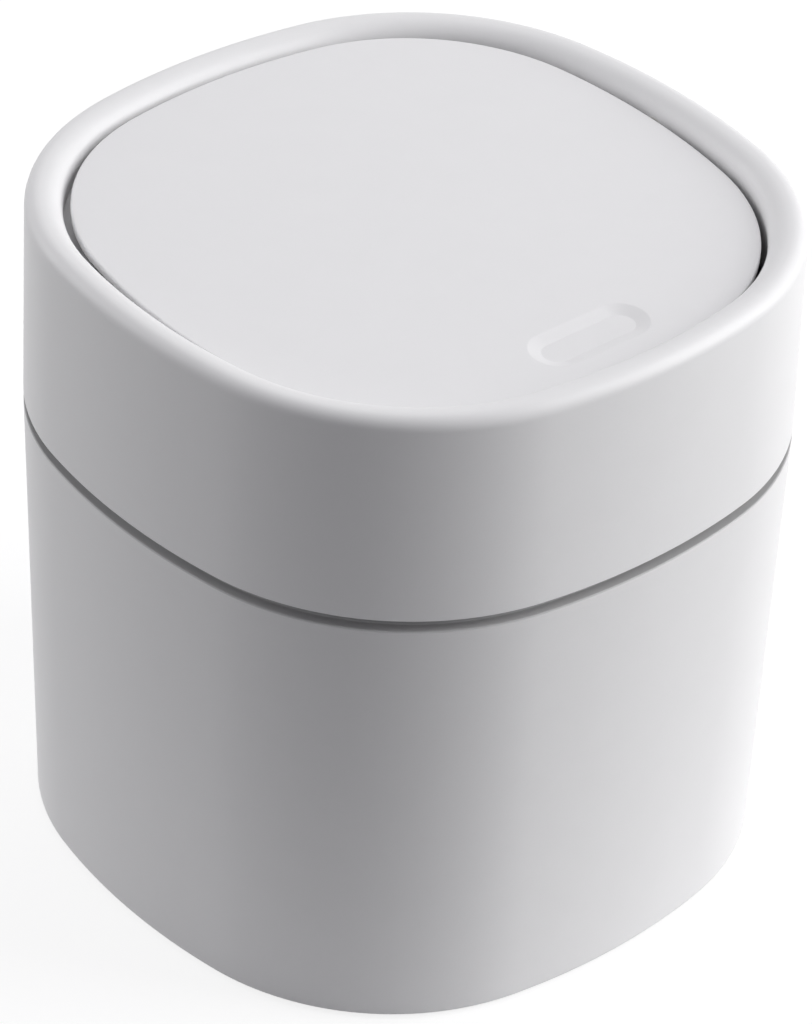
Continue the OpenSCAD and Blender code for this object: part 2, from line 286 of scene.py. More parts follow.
# %% A socket that can be calculated with
class Wire:
    def __init__(self, socket):
        self.socket = socket

    def sum(self, operation, first, second):
        tree = self.socket.id_data
        kinds = [v.socket.type for v in (first, second) if isinstance(v, Wire)]
        if "RGBA" in kinds:
            node = tree.nodes.new("ShaderNodeMix")
            node.data_type, node.blend_type = "RGBA", operation
            node.inputs["Factor_Float"].default_value = 1
            sockets, result = (node.inputs["A_Color"], node.inputs["B_Color"]), node.outputs["Result_Color"]
        else:
            node = tree.nodes.new("ShaderNodeVectorMath" if "VECTOR" in kinds else "ShaderNodeMath")
            node.operation = operation
            sockets, result = node.inputs[:2], node.outputs[0]
        for socket, value in zip(sockets, (first, second)):
            plug(socket, value)
        return Wire(result)

    def __add__(self, other):
        return self.sum("ADD", self, other)

    def __radd__(self, other):
        return self.sum("ADD", other, self)

    def __sub__(self, other):
        return self.sum("SUBTRACT", self, other)

    def __rsub__(self, other):
        return self.sum("SUBTRACT", other, self)

    def __mul__(self, other):
        return self.sum("MULTIPLY", self, other)

    def __rmul__(self, other):
        return self.sum("MULTIPLY", other, self)


def plug(socket, value):
    """Links a wire to the socket, or sets the socket's own value."""
    if isinstance(value, Wire):
        socket.id_data.links.new(value.socket, socket)
    elif isinstance(value, (int, float)) and hasattr(socket.default_value, "__len__"):
        size = len(socket.default_value)
        socket.default_value = ([value] * 3 + [1])[:size]
    else:
        socket.default_value = value


# %% One way to add any other node
def find_socket(sockets, key):
    return next(s for s in sockets if key in (s.identifier, s.name) and s.enabled)


class Tree:
    """A node tree and the one method that adds nodes to it."""

    def __init__(self, tree):
        self.tree = tree

    def node(self, kind, settings=None, sockets=None, out=0):
        """Adds a node: its settings first, then its sockets' values or wires. Returns one output."""
        node = self.tree.nodes.new("ShaderNode" + kind)
        for key, value in (settings or {}).items():
            setattr(node, key, value)
        for key, value in (sockets or {}).items():
            plug(find_socket(node.inputs, key), value)
        if not node.outputs:
            return None
        return Wire(find_socket(node.outputs, out) if isinstance(out, str) else node.outputs[out])


print("wires and trees are ready")

# %% A material with its shader
class Finish(Tree):
    """A material whose Principled shader takes the numbers that are the same all over."""

    def __init__(self, name, **constants):
        self.material = bpy.data.materials.new(name)
        self.material.use_nodes = True
        super().__init__(self.material.node_tree)
        self.shader = self.tree.nodes["Principled BSDF"]
        self.set(**constants)

    def set(self, **sockets):
        for key, value in sockets.items():
            plug(self.shader.inputs[key.replace("_", " ")], value)

    def place(self):
        """Where the point is on the piece, in millimetres."""
        return self.node("TexCoord", out="Object") * (1 / MM)

    def noise(self, vector, size, detail=2.0, rough=0.5):
        """Noise from 0 to 1 whose blotches are about this many millimetres across."""
        return self.node("TexNoise", None, {
            "Vector": vector, "Scale": 1 / size, "Detail": detail, "Roughness": rough})

    def relief(self, height):
        """Bends the light as a surface of this height, in millimetres, would."""
        self.set(Normal=self.node("Bump", None, {"Height": height * MM, "Distance": 1.0, "Strength": 1.0}))

    def colour(self, red, green, blue):
        """Colours the piece by three wires."""
        self.set(Base_Color=self.node("CombineColor", None, {"Red": red, "Green": green, "Blue": blue}))


# %% [markdown]
# ## The white plastic
#
# The shells are injection-moulded polypropylene or ABS with a fine spark-eroded grain, satin to the touch.
# A flat white would look like paper. Real moulded plastic shows three things at once: a grain a few tenths of
# a millimetre across that softens the highlights, a cloudy change in gloss where the melt cooled at
# different speeds, and very shallow waves over several centimetres. Each is one noise, at its own size, and
# the heights are added up in millimetres before they reach a single Bump node.
#
# The groove between body and hood is a good deal darker on the real bin than its own shadow comes out here.
# The photograph doesn't tell why: dust that no cloth reaches is the guess, and a deeper gap or a darker ring
# would look alike. So shade is painted into the body's plastic there, standing in for a deeper shadow: a ramp
# over the height picks the band, from just below the shoulder's edge to the hood's edge, and the dot product
# of place and normal keeps the painted shade off the wall that faces inwards.

# %% Painted shade in the groove
SHOULDER_Z, SEAM_Z = 102.9, 105.4
# Painted shade: how much the groove's colour is darkened, at the shoulder and at the hood's edge.
PAINTED_SHADE_LOW, PAINTED_SHADE_HIGH = 0.44, 0.68


def ramp(finish, value, start, end):
    """Goes evenly from 0 at the start to 1 at the end, and stays level beyond them."""
    return finish.node("MapRange", None, {"Value": value, "From Min": start, "From Max": end})


def groove_painted_shade(finish, place):
    """The share of light that the painted shade takes, on the outer face from the shoulder to the hood's
    edge.
    """
    height = finish.node("SeparateXYZ", None, {"Vector": place}, out="Z")
    normal = finish.node("TexCoord", out="Normal")
    facing = finish.node("VectorMath", {"operation": "DOT_PRODUCT"}, {
        "Vector": place, "Vector_001": normal}, out="Value")
    band = ramp(finish, height, SHOULDER_Z - 0.4, SHOULDER_Z - 0.1) * ramp(finish, height, SEAM_Z + 1, SEAM_Z)
    depth = PAINTED_SHADE_LOW + ramp(finish, height, SHOULDER_Z, SEAM_Z) * (PAINTED_SHADE_HIGH - PAINTED_SHADE_LOW)
    return band * ramp(finish, facing, 0, 1) * depth


print("groove:", round(SEAM_Z - SHOULDER_Z, 2), "mm high")

# %% Moulded plastic
GRAIN_MM, CLOUDS_MM, WAVES_MM = 0.28, 9, 45
WAVE_HEIGHT = 0.05


def moulded_plastic(name, colour, roughness, grain_height=0.0012, painted_groove_shade=False):
    finish = Finish(name, IOR=1.49)
    place = finish.place()
    grain = finish.noise(place, GRAIN_MM, detail=3)
    clouds = finish.noise(place, CLOUDS_MM, detail=3)
    waves = finish.noise(place, WAVES_MM, detail=1)
    finish.set(Roughness=roughness + (clouds - 0.5) * 0.16 + (grain - 0.5) * 0.1)
    tone = 0.985 + (clouds - 0.5) * 0.03 + (grain - 0.5) * 0.04
    if painted_groove_shade:
        # Painted shade in the groove between body and hood, darkening the body's colour there.
        tone = tone * (1 - groove_painted_shade(finish, place))
    finish.colour(tone * colour[0], tone * colour[1], tone * colour[2])
    finish.relief((grain - 0.5) * grain_height + (waves - 0.5) * WAVE_HEIGHT)
    return finish.material


body_plastic = moulded_plastic("body_plastic", (0.835, 0.832, 0.835), 0.46, painted_groove_shade=True)
hood_plastic = moulded_plastic("hood_plastic", (0.845, 0.842, 0.845), 0.44)
lid_plastic = moulded_plastic("lid_plastic", (0.85, 0.846, 0.852), 0.48)
backing_plastic = moulded_plastic("backing_plastic", (0.8, 0.8, 0.8), 0.58, grain_height=0.004)
print("plastics:", body_plastic.name, hood_plastic.name, lid_plastic.name, backing_plastic.name)

# %% [markdown]
# ## Rubber, acetal and steel
#
# The small parts are never seen close up, but they tell a looker what they are made of. Silicone is dull and
# a little dusty. Acetal is creamy and glossy, with turning marks. Steel takes its look from fine lines in
# one direction, so its noise is stretched: squeezed across the lines and pulled out along them.

# %% Silicone for the feet and the stop pads
def silicone(name, grey):
    finish = Finish(name, IOR=1.41)
    place = finish.place()
    dust = finish.noise(place, 1.6, detail=4, rough=0.7)
    skin = finish.noise(place, 0.35, detail=3)
    finish.set(Roughness=0.62 + (dust - 0.5) * 0.25)
    tone = grey + (dust - 0.5) * 0.08
    finish.colour(tone, tone, tone * 0.985)
    finish.relief((skin - 0.5) * 0.01)
    return finish.material


foot_rubber = silicone("foot_silicone", 0.58)
stop_rubber = silicone("stop_silicone", 0.66)
print("silicones:", foot_rubber.name, stop_rubber.name)

# %% Turned acetal for the bushes
def acetal(name):
    finish = Finish(name, IOR=1.48)
    place = finish.place()
    lines = finish.noise(place * (1.0, 0.05, 0.05), 0.12, detail=2)
    cream = finish.noise(place, 2.5)
    finish.set(Roughness=0.26 + (lines - 0.5) * 0.2)
    tone = 0.84 + (cream - 0.5) * 0.05
    finish.colour(tone, tone * 0.99, tone * 0.95)
    finish.relief((lines - 0.5) * 0.004)
    return finish.material


bush_acetal = acetal("bush_acetal")
print("acetal:", bush_acetal.name)

# %% Steel with lines along one direction
def steel(name, tone, roughness, stretch, tint=(1.0, 1.0, 1.0)):
    finish = Finish(name, Metallic=1.0)
    place = finish.place()
    lines = finish.noise(place * stretch, 0.1, detail=3, rough=0.65)
    stains = finish.noise(place, 4.0, detail=4, rough=0.6)
    finish.set(Roughness=roughness + (lines - 0.5) * 0.3 + (stains - 0.5) * 0.14)
    level = tone + (lines - 0.5) * 0.12 + (stains - 0.5) * 0.1
    finish.colour(level * tint[0], level * tint[1], level * tint[2])
    finish.relief((lines - 0.5) * 0.006)
    return finish.material


pin_steel = steel("pin_steel", 0.66, 0.28, (1.0, 0.04, 0.04))
screw_steel = steel("screw_steel", 0.62, 0.34, (0.3, 0.3, 1.0), tint=(1.0, 0.99, 0.94))
bar_steel = steel("bar_steel", 0.42, 0.42, (0.03, 1.0, 1.0))
print("steels:", pin_steel.name, screw_steel.name, bar_steel.name)

# %% [markdown]
# ## The body
#
# The body is one moulded bucket. Its outer face widens a little on its way up from a small foot rounding to
# the shoulder, steps in by a little more than the hood's thickness, and goes on as the neck inside the hood.
# The hood rests on the neck's top and leaves a groove above the shoulder, which is the dark line round the
# bin. Lofting between a few drawn curves would work too, but a single section carried round the plan gives
# every edge at once. The inside of the floor gets a rounding of its own, as any bucket has that is wiped
# clean, and the underside has a shallow hollow with four round seats for the feet.

# %% Heights and insets of the body
NECK_TOP, NECK_ROOT, FOOT_LIFT, FLOOR_LOW, FLOOR_TOP = 117.4, 98.5, 0.6, 1.8, 4.2
BODY_WALL, NECK_OUTER, NECK_INNER = 2.2, 2.6, 4.4
FOOT_INSET, SOLE_INSET, FLOOR_EDGE = 1.7, 7.7, 18
FOOT_PITCH, SEAT_R, SEAT_DEPTH = 42, 7.05, 0.6

body_section = rounded([
    (FLOOR_EDGE, FLOOR_TOP), (FOOT_INSET + BODY_WALL, FLOOR_TOP, 3), (BODY_WALL, NECK_ROOT, 3),
    (NECK_INNER, SHOULDER_Z, 3), (NECK_INNER, NECK_TOP, 0.4), (NECK_OUTER, NECK_TOP, 0.8),
    (NECK_OUTER, SHOULDER_Z, 0.2), (0, SHOULDER_Z, 0.3), (FOOT_INSET, FOOT_LIFT, 0.9),
    (SOLE_INSET, FOOT_LIFT, 0.4), (SOLE_INSET, FLOOR_LOW, 0.4), (FLOOR_EDGE, FLOOR_LOW),
], closed=False)
print("points in the body's section:", len(body_section))

# %% Build the body
def circle(x, y, r, z, steps=48):
    return [(x + r * math.cos(2 * math.pi * i / steps), y + r * math.sin(2 * math.pi * i / steps), z)
            for i in range(steps)]


FOOT_PLACES = {
    "front_left": (-FOOT_PITCH, -FOOT_PITCH), "front_right": (FOOT_PITCH, -FOOT_PITCH),
    "rear_left": (-FOOT_PITCH, FOOT_PITCH), "rear_right": (FOOT_PITCH, FOOT_PITCH),
}
skin = Skin()
rings = skin.swept(body_section, closed=False)
skin.flat(rings[0])
seats = []
for x, y in FOOT_PLACES.values():
    seat = skin.sleeve([circle(x, y, SEAT_R, FLOOR_LOW), circle(x, y, SEAT_R, FLOOR_LOW + SEAT_DEPTH)])
    skin.flat(seat[1])
    seats.append(seat[0])
skin.flat(rings[-1], *seats)
fit_out(skin.object("body_bucket"), "bin", ["bin_body"], body_plastic)

# %% [markdown]
# ## The feet
#
# Each foot is a silicone disc glued into its seat. A plain cylinder would do from a distance, but a moulded
# pad has a rounded edge and a groove or two in its sole, so its section is turned like a coin's.

# %% Build the feet
FOOT_R, FOOT_TALL = 7, FLOOR_LOW + SEAT_DEPTH
foot_section = rounded([
    (0.6, FOOT_TALL), (FOOT_R, FOOT_TALL, 0.2), (FOOT_R, 0, 0.3),
    (5.2, 0, 0.1), (5, 0.25, 0.1), (4.6, 0.25, 0.1), (4.4, 0, 0.1),
    (2.7, 0, 0.1), (2.5, 0.25, 0.1), (2.1, 0.25, 0.1), (1.9, 0, 0.1), (0.6, 0),
], closed=False, steps=3, hold=0.1)
for corner, (x, y) in FOOT_PLACES.items():
    skin = Skin()
    skin.ends(skin.turned(foot_section, at(x, y), steps=64))
    fit_out(skin.object("foot_" + corner), "bin", ["foot_pad_" + corner], foot_rubber)

# %% [markdown]
# ## The hood
#
# The hood is a ring with a J-shaped section: the outer wall rises to a rim with a small rounding outside and
# a wide one inside, and from the rim a short collar hangs down into the opening. Low inside, a rib rests on
# the neck. The section closes on itself, so the sweep is a tube with no ends. Two things aren't the same all
# round: the ledge behind the axis that stops the flap, and the sockets for the bushes. The ledge is a short
# sweep with ends, and the sockets are made with Boolean modifiers, because a round hole through a curved wall
# has no neat ring to follow.

# %% The hood's section
CREST_Z, CREST_UNDER, RIB_TOP = 152.6, 150.2, NECK_TOP + 2
RIM_INSET, HOOD_WALL, RIM_OUTSIDE, RIM_INSIDE = 0.85, 2.2, 2.9, 4.8
COLLAR_IN, COLLAR_BACK, COLLAR_Z = 8.8, 7, 136.6
hood_section = rounded([
    (0, SEAM_Z, 0.2), (RIM_INSET, CREST_Z, RIM_OUTSIDE), (COLLAR_IN, CREST_Z, RIM_INSIDE),
    (COLLAR_IN, COLLAR_Z, 0.5), (COLLAR_BACK, COLLAR_Z, 0.5), (COLLAR_BACK, CREST_UNDER, 2.6),
    (RIM_INSET + HOOD_WALL, CREST_UNDER, 1), (2.44, RIB_TOP, 0.3), (NECK_INNER, RIB_TOP, 0.3),
    (NECK_INNER, NECK_TOP, 0.3), (2.42, NECK_TOP, 0.3), (HOOD_WALL, SEAM_Z, 0.2),
], steps=9)
print("points in the hood's section:", len(hood_section))

# %% The ledge behind the axis
LEDGE_TOP, LEDGE_FROM, LEDGE_W, LEDGE_THICK = 145.6, 28, 5.4, 1.8
LEDGE_ROOT, LEDGE_EDGE = COLLAR_IN - 0.9, COLLAR_IN + LEDGE_W


def ledge(skin):
    """A shelf on the collar's rear part, with square ends."""
    section = rounded([
        (LEDGE_ROOT, LEDGE_TOP), (LEDGE_EDGE, LEDGE_TOP, 0.3),
        (LEDGE_EDGE, LEDGE_TOP - LEDGE_THICK, 0.3), (LEDGE_ROOT, LEDGE_TOP - LEDGE_THICK),
    ], steps=3)
    start = math.degrees(math.asin((LEDGE_FROM - CORNER_CENTRE) / (CORNER_R - COLLAR_IN - LEDGE_W / 2)))
    turns = [start] + [t for t in ring_turns() if start < t < 180 - start] + [180 - start]
    slices = [[(*outline_point(turn, p.x), p.y) for p in section] for turn in turns]
    skin.ends(skin.sleeve(slices))


print("the ledge starts", LEDGE_FROM, "mm behind the axis")

# %% Cut and join
def combine(base, *tools):
    """Applies (operation, tool) pairs to the base object and removes the tools."""
    for operation, tool in tools:
        step = base.modifiers.new(operation, "BOOLEAN")
        step.operation, step.object, step.solver = operation, tool, "EXACT"
    bpy.context.view_layer.update()
    data = bpy.data.meshes.new_from_object(base.evaluated_get(bpy.context.evaluated_depsgraph_get()))
    base.modifiers.clear()
    base.data = data
    for _, tool in tools:
        bpy.data.objects.remove(tool)
    data.set_sharp_from_angle(angle=SHARP)


def gather(base, parts):
    """Joins the parts to the base without cutting anything."""
    with bpy.context.temp_override(active_object=base, selected_editable_objects=[base, *parts]):
        bpy.ops.object.join()


def rectangle(x0, y0, x1, y1, inset, r):
    """Points round a rectangle, this far inside its edge, with rounded corners."""
    return rounded([(x0 + inset, y0 + inset, r), (x1 - inset, y0 + inset, r),
                    (x1 - inset, y1 - inset, r), (x0 + inset, y1 - inset, r)], steps=3)


def block(low, high, edge=0.3):
    """A box with rounded upright edges and bevelled ends, between two corners."""
    skin = Skin()
    (x0, y0, z0), (x1, y1, z1) = low, high
    rings = []
    for inset, z in ((edge, z0), (0, z0 + edge), (0, z1 - edge), (edge, z1)):
        rings.append([(p.x, p.y, z) for p in rectangle(x0, y0, x1, y1, inset, edge)])
    skin.ends(skin.sleeve(rings))
    return skin


def beside(side, near, far):
    """The lower and the higher x of something that lies between two distances from the middle."""
    return sorted((side * near, side * far))


print("a block has", len(rectangle(0, 0, 9, 9, 0, 1)), "points in a ring")

# %% Build the hood
PIVOT_Z, BUSH_X, SOCKET_R = 145.1, 67, 3.02
BORE_FROM, BORE_TO = BUSH_X - 1, BUSH_X + 5
SOCKET_FROM, SOCKET_TO, SOCKET_HALF_W, SOCKET_LOW, SOCKET_HIGH = 68.26, 73.6, 5.02, 140.08, 150.56
SIDES = {"left": -1, "right": 1}


def outward(side):
    """Lays something upright along X, with its top pointing away from the middle on that side."""
    return Matrix.Rotation(math.radians(90 * side), 4, "Y")


def drill(name, r, x0, x1, z):
    """A rod along X, for cutting a hole."""
    skin = Skin()
    skin.ends(skin.turned([Vector((r, x0)), Vector((r, x1))], at(0, 0, z) @ outward(1)))
    return skin.object(name)


skin = Skin()
skin.swept(hood_section)
hood = skin.object("hood_shell")
tools = []
for side in SIDES.values():
    x0, x1 = beside(side, SOCKET_FROM, SOCKET_TO)
    socket = block((x0, -SOCKET_HALF_W, SOCKET_LOW), (x1, SOCKET_HALF_W, SOCKET_HIGH), edge=0.2)
    tools.append(("UNION", socket.object("socket")))
for side in SIDES.values():
    tools.append(("DIFFERENCE", drill("bore", SOCKET_R, *beside(side, BORE_FROM, BORE_TO), PIVOT_Z)))
combine(hood, *tools)
skin = Skin()
ledge(skin)
gather(hood, [skin.object("shelf")])
fit_out(hood, "hood", ["hood"], hood_plastic)

# %% [markdown]
# ## Bushes and stop pads
#
# Two acetal bushes sit in the sockets and carry the pins, and two silicone pads lie on the ledge where the
# closed flap would knock. All four are turned parts: a tube, and a disc with a soft upper edge.

# %% Build the bushes
BUSH_BORE, BUSH_R, BUSH_L = 1.56, 3, 5
bush_section = rounded([
    (BUSH_BORE, 0, 0.2), (BUSH_R, 0, 0.15), (BUSH_R, BUSH_L, 0.15), (BUSH_BORE, BUSH_L, 0.2),
], steps=3, hold=0.1)
for name, side in SIDES.items():
    skin = Skin()
    skin.turned(bush_section, at(side * BUSH_X, 0, PIVOT_Z) @ outward(side), closed=True)
    fit_out(skin.object("bush_" + name), "hood", ["pivot_bush_" + name], bush_acetal)

# %% Build the stop pads
STOP_TURN, STOP_INSET, STOP_R, STOP_TALL = 8, 12.2, 1.8, 1
pad_section = rounded([
    (0.3, 0), (STOP_R, 0, 0.1), (STOP_R, STOP_TALL, 0.35), (0.3, STOP_TALL),
], closed=False, steps=4, hold=0.15)
for name, side in SIDES.items():
    x, y = outline_point(90 - side * STOP_TURN, STOP_INSET)
    skin = Skin()
    skin.ends(skin.turned(pad_section, at(x, y, LEDGE_TOP)))
    fit_out(skin.object("pad_" + name), "hood", ["stop_pad_" + name], stop_rubber)

# %% [markdown]
# ## The swing lid
#
# The flap is drawn in its own frame, with the axis as its origin, and then tilted by the 1.6 degrees that it
# hangs open in the photograph. Its top is flat up to a small rounding. The finger recess is a stadium-shaped
# dish: rings of the same stadium, each a little smaller and deeper, with a soft shoulder at the top and a
# wide sweep into the floor. A displaced grid would blur that shoulder, and rings keep it where it belongs.
# Under the top a skirt goes right round, and inside it are the bosses for the pins and four screw posts.

# %% The lid's frame and its edge
LID_HANG = math.radians(1.6)
LID_FRAME = at(0, 0, PIVOT_Z) @ Matrix.Rotation(LID_HANG, 4, "X")
LID_TOP, LID_UNDER, SKIRT_LOW, BACKING_LOW = 3.8, 1.8, -8.2, -9.8
LID_INSET, SKIRT_INSET, SKIRT_BACK, FLAT_EDGE, UNDER_EDGE = 10.2, 16, 17.6, 12, 22
lid_section = rounded([
    (FLAT_EDGE, LID_TOP), (LID_INSET, LID_TOP, 0.35), (LID_INSET, LID_UNDER, 0.3),
    (SKIRT_INSET, LID_UNDER, 0.6), (SKIRT_INSET, SKIRT_LOW, 0.2), (SKIRT_BACK, SKIRT_LOW, 0.2),
    (SKIRT_BACK, LID_UNDER, 0.5), (UNDER_EDGE, LID_UNDER),
], closed=False, steps=4)
print("points in the lid's section:", len(lid_section))

# %% The finger recess
RECESS_L, RECESS_W, RECESS_Y, RECESS_DEPTH, RECESS_SLOPE = 29, 12, -53, 1.2, 3.4


def stadium(inset, z, steps=24):
    """A ring of two half circles and two straights, this far inside the recess's edge."""
    run, r = (RECESS_L - RECESS_W) / 2, RECESS_W / 2 - inset
    points = []
    for side in (1, -1):
        for i in range(steps + 1):
            a = math.pi * i / steps - math.pi / 2
            points.append((side * (run + r * math.cos(a)), RECESS_Y + side * r * math.sin(a), z))
    return points


RECESS_FLOOR = LID_TOP - RECESS_DEPTH
dish_section = rounded([
    (-1, LID_TOP), (0, LID_TOP, 1.5), (RECESS_SLOPE, RECESS_FLOOR, 5), (RECESS_W / 2 - 0.2, RECESS_FLOOR),
], closed=False, steps=6, hold=0.2)
print("rings across the recess:", len(dish_section))

# %% Build the lid
skin = Skin()
rings = skin.swept(lid_section, closed=False)
dish = skin.sleeve([stadium(p.x, p.y) for p in dish_section])
skin.flat(dish[-1])
skin.flat(rings[0], dish[0])
skin.flat(rings[-1])
lid = skin.object("lid_flap", LID_FRAME)
print(lid.name, "-", len(lid.data.polygons), "faces so far")

# %% A tube
def tube(outer, inner, low, high, place):
    """A tube with slightly rounded rims."""
    skin = Skin()
    section = rounded([(inner, low, 0.1), (outer, low, 0.2), (outer, high, 0.2), (inner, high, 0.1)],
                      steps=3, hold=0.1)
    skin.turned(section, place, closed=True)
    return skin


print("faces in a tube:", len(tube(2, 1, 0, 1, at(0, 0)).mesh.faces))

# %% Inside the lid
HUB_R, HUB_BORE, HUB_FROM, HUB_TO = 2.8, 1.52, 59, 66.6
BOSS_FROM, BOSS_HALF = 49.6, 4.7
POST_R, SCREW_R, SCREW_AT = 3.45, 1.3, 34
IN_THE_TOP, BULGE_LOW = 2.8, 1
parts = []
for side in SIDES.values():
    parts.append(tube(HUB_R, HUB_BORE, HUB_FROM, HUB_TO, outward(side)).object("hub", LID_FRAME))
    x0, x1 = beside(side, BOSS_FROM, HUB_FROM)
    boss = block((x0, -BOSS_HALF, -BOSS_HALF), (x1, BOSS_HALF, IN_THE_TOP))
    parts.append(boss.object("boss", LID_FRAME))
    for front in (-1, 1):
        post = tube(POST_R, SCREW_R, SKIRT_LOW, IN_THE_TOP, at(side * SCREW_AT, front * SCREW_AT))
        parts.append(post.object("post", LID_FRAME))
under = Skin()
bulge_section = rounded([(-1.6, IN_THE_TOP), (-1.6, BULGE_LOW, 0.4), (4, BULGE_LOW)], closed=False, steps=4)
under.ends(under.sleeve([stadium(p.x, p.y) for p in bulge_section]))
parts.append(under.object("recess_underside", LID_FRAME))
gather(lid, parts)
fit_out(lid, "lid", ["swing_lid"], lid_plastic)

# %% [markdown]
# ## The closing plate
#
# From behind, with the flap turned, the plate that closes the lid is what shows. Its six screw holes are
# countersunk, so each hole is a cone between two rings, and the flat faces are filled round them. Inside are
# the rib that finds the skirt, and the walls that hold the ballast.

# %% Build the closing plate
SCREWS = [(x, y) for x in (-SCREW_AT, SCREW_AT) for y in (-SCREW_AT, SCREW_AT)]
BAR_Y, BALLAST_SCREW_X = -0.18, 30
BALLAST_SCREWS = [(-BALLAST_SCREW_X, BAR_Y), (BALLAST_SCREW_X, BAR_Y)]
HEAD_R, HEAD_TALL = 2.86, 1.3
plate_section = rounded([
    (UNDER_EDGE, BACKING_LOW), (SKIRT_INSET, BACKING_LOW, 0.4), (SKIRT_INSET, SKIRT_LOW, 0.15),
    (UNDER_EDGE, SKIRT_LOW),
], closed=False, steps=4)
skin = Skin()
rings = skin.swept(plate_section, closed=False)
low, high = [], []
for x, y in SCREWS + BALLAST_SCREWS:
    hole = skin.sleeve([circle(x, y, r, z, 32) for r, z in (
        (3.0, BACKING_LOW), (HEAD_R, BACKING_LOW + 0.06),
        (SCREW_R, BACKING_LOW + HEAD_TALL), (SCREW_R, SKIRT_LOW))])
    low.append(hole[0])
    high.append(hole[-1])
skin.flat(rings[0], *low)
skin.flat(rings[-1], *high)
backing = skin.object("closing_plate", LID_FRAME)
print(backing.name, "- holes:", len(low))

# %% Inside the plate
IN_THE_PLATE, RIB_HIGH, CRADLE_HIGH, KEEPER_HIGH = -9, -6.4, -5.2, 1.5
RIB_INSET, RIB_BACK = 17.8, 19.4
CRADLE_X, CRADLE_Y, CRADLE_WALL = 46.6, 8.6, 1.4
KEEPER_FROM, KEEPER_TO, KEEPER_HALF = 45.9, 49.3, 2.35
rib = Skin()
rib.swept(rounded([
    (RIB_INSET, IN_THE_PLATE), (RIB_INSET, RIB_HIGH, 0.3), (RIB_BACK, RIB_HIGH, 0.3),
    (RIB_BACK, IN_THE_PLATE),
], steps=3))
parts = [rib.object("rib", LID_FRAME)]
front, rear = BAR_Y - CRADLE_Y, BAR_Y + CRADLE_Y
for x0, y0, x1, y1 in ((-CRADLE_X, front, CRADLE_WALL - CRADLE_X, rear),
                       (CRADLE_X - CRADLE_WALL, front, CRADLE_X, rear),
                       (-CRADLE_X, front, CRADLE_X, front + CRADLE_WALL),
                       (-CRADLE_X, rear - CRADLE_WALL, CRADLE_X, rear)):
    wall = block((x0, y0, IN_THE_PLATE), (x1, y1, CRADLE_HIGH), edge=0.2)
    parts.append(wall.object("cradle", LID_FRAME))
for side in SIDES.values():
    x0, x1 = beside(side, KEEPER_FROM, KEEPER_TO)
    keeper = block((x0, -KEEPER_HALF, IN_THE_PLATE), (x1, KEEPER_HALF, KEEPER_HIGH))
    parts.append(keeper.object("keeper", LID_FRAME))
gather(backing, parts)
fit_out(backing, "lid", ["lid_backing"], backing_plastic)

# %% [markdown]
# ## Screws, pins and ballast
#
# A countersunk screw is a turned section, but the cross recess in its head isn't round. The head's flat face
# is filled between a circle and a cross-shaped ring, and that ring is carried down to a smaller cross. The
# pins are ground rods with a chamfer, and the ballast is a cut piece of flat bar with two drilled holes.

# %% A countersunk screw
CROSS_STEPS = ((1.55, 0.34, 0), (1.45, 0.3, 0.12), (0.5, 0.16, 0.95))


def cross(reach, half, z):
    """A ring in the shape of a cross with blunt ends."""
    quarter = [(reach, -half), (reach, half), (half * 1.25, half * 1.25)]
    points = []
    for turn in range(4):
        c, s = (1, 0, -1, 0)[turn], (0, 1, 0, -1)[turn]
        points += [(x * c - y * s, x * s + y * c, z) for x, y in quarter]
    return points


def countersunk(skin, x, y, length):
    """Head down at the plate's underside, shank up into the lid."""
    shank, tip = SCREW_R - 0.05, HEAD_TALL + length
    section = rounded([
        (0.5, tip), (shank, tip, 0.3), (shank, HEAD_TALL, 0.2), (HEAD_R - 0.06, 0.05, 0.08), (2.6, 0),
    ], closed=False, steps=3, hold=0.1)
    rings = skin.turned(section, at(x, y, BACKING_LOW), steps=40)
    skin.flat(rings[0])
    slot = skin.sleeve([[(px + x, py + y, pz + BACKING_LOW) for px, py, pz in cross(*step)]
                        for step in CROSS_STEPS])
    skin.flat(slot[-1])
    skin.flat(rings[-1], slot[0])


print("points in a cross:", len(cross(*CROSS_STEPS[0])))

# %% The screws
LID_SCREW_L, BALLAST_SCREW_L = 7, 5.3
skin = Skin()
for x, y in SCREWS:
    countersunk(skin, x, y, LID_SCREW_L)
fit_out(skin.object("plate_screws", LID_FRAME), "lid", ["lid_screws"], screw_steel)
skin = Skin()
for x, y in BALLAST_SCREWS:
    countersunk(skin, x, y, BALLAST_SCREW_L)
fit_out(skin.object("bar_screws", LID_FRAME), "lid", ["ballast_screws"], screw_steel)

# %% The pins
PIN_R, PIN_FROM, PIN_TO = 1.5, BOSS_FROM, 71.6
pin_section = rounded([
    (0.4, PIN_FROM), (PIN_R, PIN_FROM, 0.2), (PIN_R, PIN_TO, 0.2), (0.4, PIN_TO),
], closed=False, steps=3)
for name, side in SIDES.items():
    skin = Skin()
    skin.ends(skin.turned(pin_section, at(0, 0, PIVOT_Z) @ outward(side), steps=32))
    fit_out(skin.object("pin_" + name), "lid", ["pivot_pin_" + name], pin_steel)

# %% The ballast bar
BAR_HALF_L, BAR_HALF_W, BAR_TOP, BAR_EDGE = 45, 7, SKIRT_LOW + 5, 0.3
skin = Skin()
rings = []
for inset, z in ((BAR_EDGE, SKIRT_LOW), (0, SKIRT_LOW + BAR_EDGE),
                 (0, BAR_TOP - BAR_EDGE), (BAR_EDGE, BAR_TOP)):
    outline = rectangle(-BAR_HALF_L, -BAR_HALF_W, BAR_HALF_L, BAR_HALF_W, inset, 0.4)
    rings.append([(p.x, p.y + BAR_Y, z) for p in outline])
rings = skin.sleeve(rings)
holes = []
for x, y in BALLAST_SCREWS:
    holes.append(skin.sleeve([circle(x, y, SCREW_R, z, 32) for z in (SKIRT_LOW, BAR_TOP)]))
skin.flat(rings[0], *[hole[0] for hole in holes])
skin.flat(rings[-1], *[hole[1] for hole in holes])
fit_out(skin.object("ballast", LID_FRAME), "lid", ["ballast_bar"], bar_steel)

